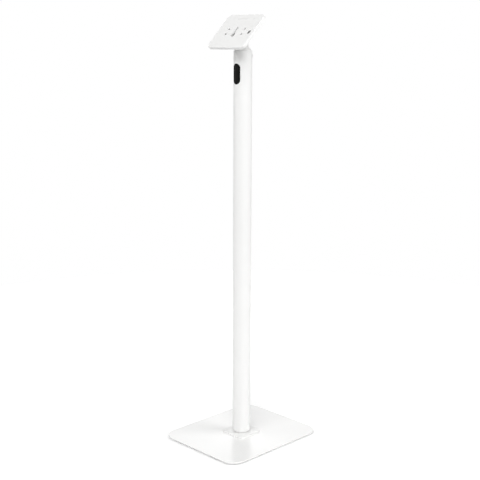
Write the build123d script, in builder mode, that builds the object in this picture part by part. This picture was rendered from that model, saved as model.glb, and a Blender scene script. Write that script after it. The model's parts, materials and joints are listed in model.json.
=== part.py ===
from build123d import *
import os

os.makedirs("parts", exist_ok=True)

# Floor stand for a tablet enclosure, in millimetres.
# Z is up, the floor is Z = 0, the pole stands on the Z axis and the user stands on the -Y side.

# Base
base_width = 288
base_depth = 345
base_thickness = 6
base_corner = 40
base_top_edge = 0.8
base_bottom_edge = 3.6
rubber_foot_radius = 11
rubber_foot_height = 3
rubber_foot_inset = 36
rubber_foot_edge = 0.6
base_bottom = rubber_foot_height
base_top = base_bottom + base_thickness
cable_bore = 9
groove_width = 9
groove_depth = 3

# Foot of the pole
flange_side = 80
flange_thickness = 4
flange_corner = 9
flange_edge = 0.9
flange_top = base_top + flange_thickness
shadow_gap = 6
collar_radius = 18.5
shoulder_height = 1.2
shoulder_inset = 0.3
foot_plug_height = 26
plug_fit = 0.05
plug_lead_in = 1.2

# Screws: M5 from below into the foot plug, and M5 button heads at the back of the pole
thread_radius = 2.45
thread_fit = 0.05
screw_clearance = 0.35
hex_socket = 1.5
base_screw_ring = 14.3
base_screw_length = 25
base_screw_head = 4.7
base_screw_socket_depth = 2
countersink_room = 0.2
tapped_hole_spare = 2
plug_screw_angles = (60, 120)
plug_screw_reach = 9
plug_screw_head = 4.5
plug_screw_head_height = 2.4
plug_screw_head_taper = 20
plug_screw_socket_depth = 1.6
plug_screw_stand_off = 0.1

# Pole
pole_radius = 25
pole_wall = 2
pole_bore = pole_radius - pole_wall
plug_radius = pole_bore - plug_fit
pole_bottom = flange_top + shadow_gap
pole_top = 1083
beyond_pole = pole_radius + 5

# Cable port near the top, on the user's side
port_height = 55
port_width = 24
port_middle = 1023
port_lip = 2
port_proud = 1.3
port_inner_lip = 1.4
port_rim = 4.8
grommet_fit = 0.1
cover_fit = 0.05
cover_recess = 0.5

# Neck
top_plug_height = 22
top_plug_bottom = pole_top - top_plug_height
top_plug_middle = top_plug_bottom + top_plug_height / 2
stem_radius = 12
stem_fit = 0.1
stem_end = 2
ring_nut_across_flats = 34
ring_nut_height = 7
neck_washer_radius = 17
neck_washer_thickness = 1.5
washer_bottom = top_plug_bottom - neck_washer_thickness
ring_nut_bottom = washer_bottom - ring_nut_height
stem_bottom = ring_nut_bottom - stem_end
neck_radius = 15
neck_bore = 9
neck_flat = 13.5
neck_flat_bottom = 1101
neck_top_edge = 1.5
cap_height = 10
cap_brim = 1
cap_lip = 0.9
cap_fit = 0.2
bushing_wall = 1.5
bushing_fit = 0.1
bushing_depth = 9
bushing_collar_radius = 11
bushing_collar_height = 1.6
bushing_edge = 0.7

# Hinge of the head
tilt = 45
hinge_height = 1120
neck_top = hinge_height + 13
washer_radius = 10.5
friction_washer_thickness = 1
spring_washer_thickness = 0.8
shoulder_radius = 4
shoulder_fit = 0.04
pivot_thread_radius = 2.95
pivot_thread_end = 0.6
pivot_head_radius = 6.5
pivot_head_height = 4.5
pivot_socket = 2.5
pivot_socket_depth = 2.5

# Tilt bracket
bracket_sheet = 3
bracket_length = 64
bracket_middle = 3
bracket_corner = 2.5
bracket_window_length = 44
bracket_window_width = 19
bracket_window_middle = -5
ear_radius = 11
ear_root_length = 56

# Mount plate
plate_width = 137
plate_length = 122
plate_corner = 15
plate_sheet = 2
plate_rim = 8
plate_edge = 2.2
plate_toward_user = 27.5
plate_height = 1136
fixing_hole_radius = 3
fixing_pitch_across = 58
fixing_pitch_up = 18
fixing_middle = -3
keyhole_radius = 6.5
keyhole_middle = -15
keyhole_slot_width = 5.5
keyhole_slot_travel = 26
keyhole_slot_middle = -2
lock_slot_length = 12
lock_slot_width = 8.5
lock_slot_across = 52.5
lock_slot_middle = -5
label_recess_depth = 0.45
label_recess_width = 4
label_recess_up = 44
long_recess = 38
long_recess_across = -4.5
short_recess = 9
short_recess_across = 37

# Cover in the back of the mount plate
back_sheet = 1.5
back_fit = 0.05
back_window_width = 36
back_window_length = 66
access_hole_radius = 7

# Places that follow from the sizes above
head_plane = Plane(
    origin=(0, -plate_toward_user, plate_height),
    x_dir=(1, 0, 0),
    z_dir=Vector(0, 0, 1).rotate(Axis.X, tilt),
)
side_of_plate = Plane(origin=head_plane.origin, x_dir=head_plane.y_dir, z_dir=(1, 0, 0))
hinge_on_plate = head_plane.to_local_coords(Vector(0, 0, hinge_height))
ear_inside = neck_flat + friction_washer_thickness
ear_outside = ear_inside + bracket_sheet
shoulder_end = ear_outside + spring_washer_thickness
base_screw_places = PolarLocations(base_screw_ring, 4, start_angle=45)
port_plane = Plane(origin=(0, 0, port_middle), x_dir=(1, 0, 0), z_dir=(0, -1, 0))
port_bottom_plane = Plane.XY.offset(port_middle - port_height)
sides = (1, -1)


def plug_screw_plane(angle):
    """A plane on the pole's axis that faces out along a screw at the back."""
    outward = Vector(1, 0, 0).rotate(Axis.Z, angle)
    return Plane(origin=(0, 0, top_plug_middle), z_dir=outward)


def hinge_plane(side, distance):
    """A plane across the hinge's axis, facing out, this far from the middle of the neck."""
    return Plane(origin=(side * distance, 0, hinge_height), z_dir=(side, 0, 0))


# Base plate: flat steel with rounded corners, its edge bevelled below so that it looks thin, and a
# cable groove to the rear below
with BuildPart() as base_plate:
    with BuildSketch(Plane.XY.offset(base_bottom)):
        RectangleRounded(base_width, base_depth, base_corner)
    extrude(amount=base_thickness)
    fillet(base_plate.faces().sort_by(Axis.Z)[-1].edges(), radius=base_top_edge)
    chamfer(base_plate.faces().sort_by(Axis.Z)[0].edges(), length=base_bottom_edge)
    with Locations(Plane.XY.offset(base_bottom)):
        Hole(radius=cable_bore)
    with Locations(Plane(origin=(0, 0, base_bottom), x_dir=(1, 0, 0), z_dir=(0, 0, -1))):
        with base_screw_places:
            CounterSinkHole(
                radius=thread_radius + screw_clearance,
                counter_sink_radius=base_screw_head + countersink_room,
                counter_sink_angle=90,
            )
    with BuildSketch(Plane.XY.offset(base_bottom)):
        with Locations((0, base_depth / 4)):
            Rectangle(groove_width, base_depth / 2)
    extrude(amount=groove_depth, mode=Mode.SUBTRACT)
base_plate.part.label = "base_plate"

# Rubber feet under the four corners
with BuildPart() as base_feet:
    with BuildSketch(Plane.XY):
        across = base_width - 2 * rubber_foot_inset
        along = base_depth - 2 * rubber_foot_inset
        with GridLocations(across, along, 2, 2):
            Circle(rubber_foot_radius)
    extrude(amount=rubber_foot_height)
    chamfer(base_feet.edges().group_by(Axis.Z)[0], length=rubber_foot_edge)
base_feet.part.label = "base_feet"

# Square flange that the pole stands on
with BuildPart() as foot_flange:
    with BuildSketch(Plane.XY.offset(base_top)):
        RectangleRounded(flange_side, flange_side, flange_corner)
        Circle(cable_bore, mode=Mode.SUBTRACT)
        with base_screw_places:
            Circle(thread_radius + screw_clearance, mode=Mode.SUBTRACT)
    extrude(amount=flange_thickness)
    fillet(foot_flange.faces().sort_by(Axis.Z)[-1].outer_wire().edges(), radius=flange_edge)
foot_flange.part.label = "foot_flange"

# Plug in the bottom of the pole: the tube stands on its thin shoulder, and the narrow collar below
# that leaves the shadow gap above the flange
with BuildPart() as foot_plug:
    with BuildSketch(Plane.XY.offset(flange_top)):
        Circle(collar_radius)
    extrude(amount=shadow_gap)
    with BuildSketch(Plane.XY.offset(pole_bottom)):
        Circle(pole_radius - shoulder_inset)
    extrude(amount=-shoulder_height)
    with BuildSketch(Plane.XY.offset(pole_bottom)):
        Circle(plug_radius)
    extrude(amount=foot_plug_height)
    chamfer(foot_plug.faces().sort_by(Axis.Z)[-1].edges(), length=plug_lead_in)
    with BuildSketch(Plane.XY.offset(flange_top)):
        Circle(cable_bore)
    extrude(amount=shadow_gap + foot_plug_height, mode=Mode.SUBTRACT)
    with BuildSketch(Plane.XY.offset(flange_top)):
        with base_screw_places:
            Circle(thread_radius + thread_fit)
    screw_in_plug = base_screw_length - base_thickness - flange_thickness
    extrude(amount=screw_in_plug + tapped_hole_spare, mode=Mode.SUBTRACT)
foot_plug.part.label = "foot_plug"

# Four countersunk screws from below, through base plate and flange into the plug
with BuildPart() as base_screws:
    screw_bottom = Plane.XY.offset(base_bottom + countersink_room)
    with BuildSketch(screw_bottom):
        with base_screw_places:
            Circle(thread_radius)
    extrude(amount=base_screw_length)
    with BuildSketch(screw_bottom):
        with base_screw_places:
            Circle(base_screw_head)
    extrude(amount=base_screw_head - thread_radius, taper=45)
    with BuildSketch(screw_bottom):
        with base_screw_places:
            RegularPolygon(radius=hex_socket, side_count=6, major_radius=False)
    extrude(amount=base_screw_socket_depth, mode=Mode.SUBTRACT)
base_screws.part.label = "base_screws"

# Pole: round steel tube with the cable port and two screw holes at the back
with BuildPart() as pole_tube:
    with BuildSketch(Plane.XY.offset(pole_bottom)):
        Circle(pole_radius)
        Circle(pole_bore, mode=Mode.SUBTRACT)
    extrude(amount=pole_top - pole_bottom)
    with BuildSketch(port_plane):
        SlotOverall(port_height - 2 * port_lip, port_width - 2 * port_lip, rotation=90)
    extrude(amount=beyond_pole, mode=Mode.SUBTRACT)
    for angle in plug_screw_angles:
        with BuildSketch(plug_screw_plane(angle)):
            Circle(thread_radius + screw_clearance)
        extrude(amount=beyond_pole, mode=Mode.SUBTRACT)
pole_tube.part.label = "pole_tube"

# Black rubber grommet that lines the cable port, with a lip on each side of the tube wall
with BuildPart() as port_grommet:
    with BuildSketch(port_plane):
        SlotOverall(port_height, port_width, rotation=90)
    extrude(amount=beyond_pole)
    with BuildSketch(port_bottom_plane):
        Circle(pole_radius + grommet_fit)
        Circle(pole_bore - grommet_fit, mode=Mode.SUBTRACT)
    extrude(amount=2 * port_height, mode=Mode.SUBTRACT)
    with BuildSketch(port_plane):
        through = 2 * (port_lip + grommet_fit)
        SlotOverall(port_height - through, port_width - through, rotation=90)
    extrude(amount=beyond_pole)
    with BuildSketch(port_bottom_plane):
        Circle(pole_radius + port_proud)
        Circle(pole_bore - port_inner_lip, mode=Mode.SUBTRACT)
    extrude(amount=2 * port_height, mode=Mode.INTERSECT)
    with BuildSketch(port_plane):
        SlotOverall(port_height - 2 * port_rim, port_width - 2 * port_rim, rotation=90)
    extrude(amount=beyond_pole, mode=Mode.SUBTRACT)
port_grommet.part.label = "port_grommet"

# Snap-in blank that closes the grommet until a cable needs the port
with BuildPart() as port_cover:
    with BuildSketch(port_plane):
        margin = 2 * (port_rim + cover_fit)
        SlotOverall(port_height - margin, port_width - margin, rotation=90)
    extrude(amount=beyond_pole)
    with BuildSketch(port_bottom_plane):
        Circle(pole_radius + port_proud - cover_recess)
        Circle(pole_bore - port_inner_lip, mode=Mode.SUBTRACT)
    extrude(amount=2 * port_height, mode=Mode.INTERSECT)
port_cover.part.label = "port_cover"

# Plug in the top of the pole, with a bore for the neck's hollow stem
with BuildPart() as top_plug:
    with BuildSketch(Plane.XY.offset(top_plug_bottom)):
        Circle(plug_radius)
        Circle(stem_radius + stem_fit, mode=Mode.SUBTRACT)
    extrude(amount=top_plug_height)
    chamfer(top_plug.faces().sort_by(Axis.Z)[0].outer_wire().edges(), length=plug_lead_in)
    for angle in plug_screw_angles:
        with BuildSketch(plug_screw_plane(angle)):
            Circle(thread_radius + thread_fit)
        extrude(amount=beyond_pole, mode=Mode.SUBTRACT)
top_plug.part.label = "top_plug"

# Two button-head screws at the back that hold the plug in the tube
with BuildPart() as plug_screws:
    for angle in plug_screw_angles:
        head_seat = plug_screw_plane(angle).offset(pole_radius + plug_screw_stand_off)
        with BuildSketch(head_seat.offset(-plug_screw_reach)):
            Circle(thread_radius)
        extrude(amount=plug_screw_reach)
        with BuildSketch(head_seat):
            Circle(plug_screw_head)
        extrude(amount=plug_screw_head_height, taper=plug_screw_head_taper)
        with BuildSketch(head_seat.offset(plug_screw_head_height)):
            RegularPolygon(radius=hex_socket, side_count=6, major_radius=False)
        extrude(amount=-plug_screw_socket_depth, mode=Mode.SUBTRACT)
plug_screws.part.label = "plug_screws"

# Flat washer between the top plug and the ring nut
with BuildPart() as neck_washer:
    with BuildSketch(Plane.XY.offset(washer_bottom)):
        Circle(neck_washer_radius)
        Circle(stem_radius + stem_fit, mode=Mode.SUBTRACT)
    extrude(amount=neck_washer_thickness)
neck_washer.part.label = "neck_washer"

# Ring nut on the neck's stem, which pulls the neck down on the plug
with BuildPart() as ring_nut:
    with BuildSketch(Plane.XY.offset(ring_nut_bottom)):
        RegularPolygon(radius=ring_nut_across_flats / 2, side_count=6, major_radius=False)
        Circle(stem_radius + stem_fit, mode=Mode.SUBTRACT)
    extrude(amount=ring_nut_height)
ring_nut.part.label = "ring_nut"

# Cone that closes the top of the pole round the neck
with BuildPart() as pole_cap:
    with BuildSketch(Plane.XZ):
        with BuildLine():
            cap_bore = neck_radius + cap_fit
            Polyline(
                (cap_bore, pole_top),
                (pole_radius, pole_top),
                (pole_radius, pole_top + cap_brim),
                (cap_bore + cap_lip, pole_top + cap_height),
                (cap_bore, pole_top + cap_height),
                close=True,
            )
        make_face()
    revolve(axis=Axis.Z)
pole_cap.part.label = "pole_cap"

# Neck: a hollow stem below, a round post above with two flats for the hinge, and tapped cross holes
with BuildPart() as neck_post:
    with BuildSketch(Plane.XY.offset(pole_top)):
        Circle(neck_radius)
    extrude(amount=neck_top - pole_top)
    with BuildSketch(Plane.XY.offset(neck_flat_bottom)):
        Rectangle(4 * neck_radius, 4 * neck_radius)
        Rectangle(2 * neck_flat, 4 * neck_radius, mode=Mode.SUBTRACT)
    extrude(amount=neck_top - neck_flat_bottom, mode=Mode.SUBTRACT)
    fillet(neck_post.faces().sort_by(Axis.Z)[-1].edges(), radius=neck_top_edge)
    with BuildSketch(Plane.XY.offset(stem_bottom)):
        Circle(stem_radius)
    extrude(amount=pole_top - stem_bottom)
    with BuildSketch(Plane.XY.offset(stem_bottom)):
        Circle(neck_bore)
    extrude(amount=neck_top - stem_bottom, mode=Mode.SUBTRACT)
    with BuildSketch(hinge_plane(1, 0)):
        Circle(pivot_thread_radius + thread_fit)
    extrude(amount=neck_radius, both=True, mode=Mode.SUBTRACT)
neck_post.part.label = "neck_post"

# Black bushing in the mouth of the neck, where the cable comes out under the plate
with BuildPart() as neck_bushing:
    bushing_radius = neck_bore - bushing_fit
    with BuildSketch(Plane.XY.offset(neck_top - bushing_depth)):
        Circle(bushing_radius)
    extrude(amount=bushing_depth)
    with BuildSketch(Plane.XY.offset(neck_top)):
        Circle(bushing_collar_radius)
    extrude(amount=bushing_collar_height)
    fillet(neck_bushing.faces().sort_by(Axis.Z)[-1].edges(), radius=bushing_edge)
    with BuildSketch(Plane.XY.offset(neck_top - bushing_depth)):
        Circle(bushing_radius - bushing_wall)
    extrude(amount=bushing_depth + bushing_collar_height, mode=Mode.SUBTRACT)
neck_bushing.part.label = "neck_bushing"

# Plastic friction washers between the neck's flats and the bracket's ears
with BuildPart() as friction_washers:
    for side in sides:
        with BuildSketch(hinge_plane(side, neck_flat)):
            Circle(washer_radius)
            Circle(shoulder_radius + shoulder_fit, mode=Mode.SUBTRACT)
        extrude(amount=friction_washer_thickness)
friction_washers.part.label = "friction_washers"

# Spring washers under the heads of the pivot screws
with BuildPart() as spring_washers:
    for side in sides:
        with BuildSketch(hinge_plane(side, ear_outside)):
            Circle(pivot_head_radius)
            Circle(shoulder_radius + shoulder_fit, mode=Mode.SUBTRACT)
        extrude(amount=spring_washer_thickness)
spring_washers.part.label = "spring_washers"

# Two shoulder screws that the head tilts on, one from each side, so the cable way stays open
with BuildPart() as pivot_screws:
    for side in sides:
        with BuildSketch(hinge_plane(side, neck_flat)):
            Circle(shoulder_radius)
        extrude(amount=shoulder_end - neck_flat)
        with BuildSketch(hinge_plane(side, neck_bore + pivot_thread_end)):
            Circle(pivot_thread_radius)
        extrude(amount=neck_flat - neck_bore - pivot_thread_end)
        with BuildSketch(hinge_plane(side, shoulder_end)):
            Circle(pivot_head_radius)
        extrude(amount=pivot_head_height)
        with BuildSketch(hinge_plane(side, shoulder_end + pivot_head_height)):
            RegularPolygon(radius=pivot_socket, side_count=6, major_radius=False)
        extrude(amount=-pivot_socket_depth, mode=Mode.SUBTRACT)
pivot_screws.part.label = "pivot_screws"

# Tilt bracket: a bent steel channel, its web welded under the plate, its two ears on the pivots
with BuildPart() as tilt_bracket:
    with BuildSketch(head_plane.offset(-plate_sheet)):
        with Locations((0, bracket_middle)):
            RectangleRounded(2 * ear_outside, bracket_length, bracket_corner)
        with Locations((0, bracket_window_middle)):
            SlotOverall(bracket_window_length, bracket_window_width, rotation=90, mode=Mode.SUBTRACT)
    extrude(amount=-bracket_sheet)
    for side in sides:
        with BuildSketch(side_of_plate.offset(side * ear_inside)):
            with Locations((hinge_on_plate.Y, hinge_on_plate.Z)):
                Circle(ear_radius)
            with Locations((bracket_middle, -plate_sheet - bracket_sheet / 2)):
                Rectangle(ear_root_length, bracket_sheet / 2)
            make_hull()
        extrude(amount=side * bracket_sheet)
    with BuildSketch(hinge_plane(1, 0)):
        Circle(shoulder_radius + shoulder_fit)
    extrude(amount=2 * ear_outside, both=True, mode=Mode.SUBTRACT)
tilt_bracket.part.label = "tilt_bracket"

# Mount plate: a shallow folded steel tray, open below, with its rim turned down all round
with BuildPart() as mount_plate:
    with BuildSketch(head_plane):
        RectangleRounded(plate_width, plate_length, plate_corner)
    extrude(amount=-plate_rim)
    fillet(mount_plate.faces().filter_by(head_plane).sort_by(Axis.Z)[-1].edges(), radius=plate_edge)
    with BuildSketch(head_plane.offset(-plate_sheet)):
        inside_width = plate_width - 2 * plate_sheet
        inside_length = plate_length - 2 * plate_sheet
        RectangleRounded(inside_width, inside_length, plate_corner - plate_sheet)
    extrude(amount=-plate_rim, mode=Mode.SUBTRACT)
    # Keyhole for the cable, four fixing holes and a lock slot at the right
    with BuildSketch(head_plane):
        with Locations((0, keyhole_middle)):
            Circle(keyhole_radius)
        with Locations((0, keyhole_slot_middle)):
            SlotCenterToCenter(keyhole_slot_travel, keyhole_slot_width, rotation=90)
        with Locations((0, fixing_middle)):
            with GridLocations(fixing_pitch_across, fixing_pitch_up, 2, 2):
                Circle(fixing_hole_radius)
        with Locations((lock_slot_across, lock_slot_middle)):
            SlotOverall(lock_slot_length, lock_slot_width, rotation=90)
    extrude(amount=-plate_sheet, mode=Mode.SUBTRACT)
    # Two shallow blank recesses for a label, near the upper edge
    with BuildSketch(head_plane):
        with Locations((long_recess_across, label_recess_up)):
            SlotOverall(long_recess, label_recess_width)
        with Locations((short_recess_across, label_recess_up)):
            SlotOverall(short_recess, label_recess_width)
    extrude(amount=-label_recess_depth, mode=Mode.SUBTRACT)
mount_plate.part.label = "mount_plate"

# Sheet cover pressed into the back of the tray, with a window for the bracket and an access hole
# behind each fixing hole
with BuildPart() as plate_back:
    with BuildSketch(head_plane.offset(-plate_rim)):
        back_width = inside_width - 2 * back_fit
        back_length = inside_length - 2 * back_fit
        RectangleRounded(back_width, back_length, plate_corner - plate_sheet)
        with Locations((0, bracket_middle)):
            RectangleRounded(back_window_width, back_window_length, bracket_corner, mode=Mode.SUBTRACT)
        with Locations((0, fixing_middle)):
            with GridLocations(fixing_pitch_across, fixing_pitch_up, 2, 2):
                Circle(access_hole_radius, mode=Mode.SUBTRACT)
    extrude(amount=back_sheet)
plate_back.part.label = "plate_back"

for piece in (
    base_plate,
    base_feet,
    foot_flange,
    foot_plug,
    base_screws,
    pole_tube,
    port_grommet,
    port_cover,
    top_plug,
    plug_screws,
    neck_washer,
    ring_nut,
    pole_cap,
    neck_post,
    neck_bushing,
    friction_washers,
    spring_washers,
    pivot_screws,
    tilt_bracket,
    mount_plate,
    plate_back,
):
    export_step(piece.part, f"parts/{piece.part.label}.step")
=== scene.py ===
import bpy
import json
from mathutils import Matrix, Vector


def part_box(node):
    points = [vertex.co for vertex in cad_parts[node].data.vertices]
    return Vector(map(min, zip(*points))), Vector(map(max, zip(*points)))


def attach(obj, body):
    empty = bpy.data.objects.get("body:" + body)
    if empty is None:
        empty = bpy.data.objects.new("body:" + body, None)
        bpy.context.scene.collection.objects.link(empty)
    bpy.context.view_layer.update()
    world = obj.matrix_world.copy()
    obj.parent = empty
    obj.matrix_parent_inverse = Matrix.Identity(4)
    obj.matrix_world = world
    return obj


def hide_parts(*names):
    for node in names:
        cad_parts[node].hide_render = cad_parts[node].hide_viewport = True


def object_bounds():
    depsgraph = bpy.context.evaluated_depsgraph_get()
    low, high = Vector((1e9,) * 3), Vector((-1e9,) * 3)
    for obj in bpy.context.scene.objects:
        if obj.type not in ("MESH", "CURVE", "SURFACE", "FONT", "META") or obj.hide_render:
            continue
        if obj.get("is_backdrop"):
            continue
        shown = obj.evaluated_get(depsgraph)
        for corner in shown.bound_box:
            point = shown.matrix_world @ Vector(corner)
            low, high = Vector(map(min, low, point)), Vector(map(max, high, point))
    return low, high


bl_info = {
    "name": "Tablet Floor Stand",
    "version": (1, 0, 0),
    "blender": (4, 5, 0),
    "location": "View3D > Sidebar > Floor Stand",
    "description": "Models and finishes a tablet floor stand round its fixed frame, and sets up the studio",
    "category": "Add Mesh",
}

import json
import math

import bpy
from bpy.props import FloatProperty, FloatVectorProperty, IntProperty, PointerProperty
from mathutils import Matrix, Vector

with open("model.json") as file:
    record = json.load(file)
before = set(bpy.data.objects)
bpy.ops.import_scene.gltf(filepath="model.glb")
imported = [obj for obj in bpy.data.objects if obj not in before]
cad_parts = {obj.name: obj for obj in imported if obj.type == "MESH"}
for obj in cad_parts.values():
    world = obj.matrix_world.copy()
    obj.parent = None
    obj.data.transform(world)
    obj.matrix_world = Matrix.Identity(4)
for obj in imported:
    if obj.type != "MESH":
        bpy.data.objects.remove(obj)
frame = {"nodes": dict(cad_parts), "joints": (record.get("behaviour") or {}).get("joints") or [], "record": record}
frame_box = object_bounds()

# All sizes are in metres. The millimetre is the unit that the real pieces are drawn in.
# Bores, threads, heads and countersinks are given by their radius, and sockets across their flats.
MM = 0.001

# Places nearer than this count as one, and a tool reaches this far past what it cuts
NEAR = 0.01 * MM
SPARE = 5 * MM

# Right and left, or back and front
SIDES = (1, -1)

FULL_TURN = 2 * math.pi
RIGHT_ANGLE = math.radians(90)

# Turns that lay a piece drawn along Z along X, or point it at the user
ALONG_X = (0, RIGHT_ANGLE, 0)
TO_FRONT = (RIGHT_ANGLE, 0, 0)

# A face looks along an axis if its normal has at least this share of it
FACING = 0.9

# Places that the frame gives
BASE_LOW, BASE_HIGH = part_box("base_plate")
FEET_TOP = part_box("base_feet")[1].z
FLANGE_LOW, FLANGE_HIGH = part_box("foot_flange")
FOOT_PLUG_LOW, FOOT_PLUG_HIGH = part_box("foot_plug")
BASE_SCREWS_LOW, BASE_SCREWS_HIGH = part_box("base_screws")
TUBE_LOW, TUBE_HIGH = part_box("pole_tube")
GROMMET_LOW, GROMMET_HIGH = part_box("port_grommet")
COVER_LOW, COVER_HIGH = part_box("port_cover")
TOP_PLUG_LOW, TOP_PLUG_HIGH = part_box("top_plug")
CAP_LOW, CAP_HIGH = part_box("pole_cap")
NECK_LOW, NECK_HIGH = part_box("neck_post")
BUSHING_LOW, BUSHING_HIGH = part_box("neck_bushing")
FRICTION_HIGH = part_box("friction_washers")[1]
SPRING_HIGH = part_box("spring_washers")[1]
PIVOTS_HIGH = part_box("pivot_screws")[1]
BRACKET_LOW, BRACKET_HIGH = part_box("tilt_bracket")
PLATE_LOW, PLATE_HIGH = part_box("mount_plate")
MOUNTS = {mount["name"]: mount for mount in frame["record"]["mounts"]}
HINGE = Vector(frame["joints"][0]["pos_m"])

# Base, flange and foot plug
CABLE_BORE = 9 * MM
GROOVE_WIDTH = 9 * MM
GROOVE_DEPTH = 3 * MM
BASE_BOTTOM_EDGE = 3.6 * MM
BEVEL_PROFILE = 0.3
SCREW_RING = 14.3 * MM
SCREW_CLEARANCE = 2.8 * MM
SCREW_HEAD = 4.7 * MM
COUNTERSINK = 4.9 * MM
THREAD_RADIUS = 2.45 * MM
SCREW_SOCKET = 3 * MM
TAPPED_RADIUS = 2.5 * MM
TAPPED_DEPTH = 17 * MM
COLLAR_RADIUS = 18.5 * MM
SHOULDER_HEIGHT = 1.2 * MM
SPIGOT_RADIUS = 22.95 * MM
SPIGOT_LEAD = 1.2 * MM
FOOT_RADIUS = 11 * MM
FOOT_TAPER = 0.6 * MM
FOOT_INSET = 36 * MM
TREAD_RADIUS = 8.2 * MM
TREAD_DEPTH = 0.5 * MM

# Pole, port and screws at its back
TUBE_WALL = 2 * MM
TUBE_RADIUS = TUBE_HIGH.x
PORT_LIP = 2 * MM
PORT_RIM = 4.8 * MM
PORT_FIT = 0.1 * MM
PORT_INNER = -TUBE_WALL - 1.4 * MM
PORT_MIDDLE = (GROMMET_LOW.z + GROMMET_HIGH.z) / 2
PORT_HEIGHT = GROMMET_HIGH.z - GROMMET_LOW.z
PORT_WIDTH = GROMMET_HIGH.x - GROMMET_LOW.x
PLUG_SCREW_ANGLES = (math.radians(60), math.radians(120))
PLUG_SCREW_HEIGHT = (TOP_PLUG_LOW.z + TOP_PLUG_HIGH.z) / 2
PLUG_SCREW_SEAT = 25.1 * MM
PLUG_SCREW_LENGTH = 9 * MM
BUTTON_RADIUS = 4.5 * MM
BUTTON_HEIGHT = 2.4 * MM
BUTTON_BRIM = 0.3 * MM
BUTTON_FLAT = 0.42 * BUTTON_RADIUS

# Cap, neck and hinge. The floor of a flute is a share of the screw head's radius.
CAP_BAND = 1 * MM
STEM_RADIUS = 12 * MM
NECK_RADIUS = NECK_HIGH.y
NECK_FLAT = FRICTION_HIGH.x - 1 * MM
NECK_FLAT_BOTTOM = 1101 * MM
NECK_BROW = 1.5 * MM
BUSHING_BORE = 7.4 * MM
EAR_BORE = 4.04 * MM
SPRING_FROM = SPRING_HIGH.x - 0.8 * MM
SPRING_SPLIT = 0.6 * MM
SPLIT_ANGLE = math.radians(40)
PIVOT_BORE = 3 * MM
PIVOT_THREAD = 2.95 * MM
PIVOT_THREAD_END = 9.6 * MM
PIVOT_SHOULDER = 4 * MM
PIVOT_EDGE = 0.6 * MM
PIVOT_SOCKET = 5 * MM
FLUTE_FLOOR = 0.955

# Head: the bracket's and the plate's own plane, with Y up the slope and Z out of the face
PLATE_OUT = Vector(MOUNTS["plate_face"]["axis"])
TILT = math.atan2(-PLATE_OUT.y, PLATE_OUT.z)
PLATE_UP = Vector((0, math.cos(TILT), math.sin(TILT)))
HOLES_UPPER = Vector(MOUNTS["enclosure_holes_upper"]["pos_m"])
HOLES_LOWER = Vector(MOUNTS["enclosure_holes_lower"]["pos_m"])
HOLE_PITCH = MOUNTS["enclosure_holes_upper"]["dims"]["pcd_mm"] * MM
HOLE_RADIUS = MOUNTS["enclosure_holes_upper"]["dims"]["hole_r_mm"] * MM
HOLES_BELOW_MIDDLE = 3 * MM
PLATE_MIDDLE = (HOLES_UPPER + HOLES_LOWER) / 2 + PLATE_UP * HOLES_BELOW_MIDDLE

# Mount plate, its cover, and its openings with their places on its face
PLATE_WIDTH = PLATE_HIGH.x - PLATE_LOW.x
PLATE_SHEET = 2 * MM
KEYHOLE_RADIUS, KEYHOLE_SPOT = 6.5 * MM, (0, -15 * MM, 0)
KEYSLOT_WIDTH, KEYSLOT_LENGTH, KEYSLOT_SPOT = 5.5 * MM, 31.5 * MM, (0, -2 * MM, 0)
LOCK = MOUNTS["lock_slot"]
LOCK_WIDTH = 2 * LOCK["dims"]["hole_r_mm"] * MM
LOCK_LENGTH = LOCK["dims"]["slot_length_mm"] * MM
RECESS_DEPTH = 0.45 * MM
RECESS_WIDTH = 4 * MM
RECESS_UP = 44 * MM
RECESS_LENGTHS_AND_PLACES = ((38 * MM, -4.5 * MM), (9 * MM, 37 * MM))
COVER_ROOM = 0.05 * MM
COVER_SHEET = 1.5 * MM
COVER_WINDOW_LOW = (-18 * MM, -30 * MM)
COVER_WINDOW_HIGH = (18 * MM, 36 * MM)
SHEET_CORNER = 2.5 * MM
ACCESS_RADIUS = 7 * MM

# Tilt bracket and its welds. The higher their squareness, the blunter the ends of the beads.
BRACKET_WIDTH = BRACKET_HIGH.x - BRACKET_LOW.x
BRACKET_SHEET = 3 * MM
BRACKET_MIDDLE = 3 * MM
BRACKET_LENGTH = 64 * MM
EAR_RADIUS = 11 * MM
EAR_ROOT_LENGTH = 56 * MM
EAR_ROOT_OUT = (-2.2 * MM, -0.8 * MM)
BRACKET_WINDOW_WIDTH, BRACKET_WINDOW_LENGTH, BRACKET_WINDOW_UP = 19 * MM, 44 * MM, -5 * MM
WELD_LENGTH = 13 * MM
WELD_RADIUS = 1.5 * MM
WELD_RIPPLES = 9
RIPPLE_DEPTH = 0.07
WELD_SQUARENESS = 8
WELD_OUT = -2.9 * MM
WELD_INSET = 0.6 * MM
WELD_PLACES = (-20 * MM, 3 * MM, 26 * MM)

# Colours of the top plug and of the friction washers
ALUMINIUM = "#D9DADC"
NYLON = "#E6E1D2"

# Studio. The lift of the floor grows from near to far between two distances from the pole's axis.
FLOOR_RADIUS = 2
LIFT_NEAR, LIFT_FAR = 0.27, 0.6
LIFT_FROM, LIFT_TO = 0.25, 1.1
LIFT_BELOW_BASE = 0.5
EDGE_SHADE = 5 * MM
LAMP_SIZE = 3
LAMP_DISTANCE = 5
LAMP_AIM = Vector((0, 0, 0.6))
WHITE = (1, 1, 1, 1)

# Each softbox: how far to the right of the camera it stands, and how high, in degrees
SOFTBOXES = {
    "front_light": (0, 25),
    "upper_light": (-30, 50),
    "side_light": (75, 25),
    "left_light": (-90, 25),
    "back_light": (180, 25),
}

# How finely round shapes are divided
FINE_STEPS = 192
TURNED_STEPS = 128
HOOP_STEPS = 96
SLOT_STEPS = 66
SMALL_STEPS = 64
TAPPED_STEPS = 32
BEAD_STEPS = 20
CORNER_STEPS = 14
BEND_STEPS = 8
EDGE_STEPS = 4

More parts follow.
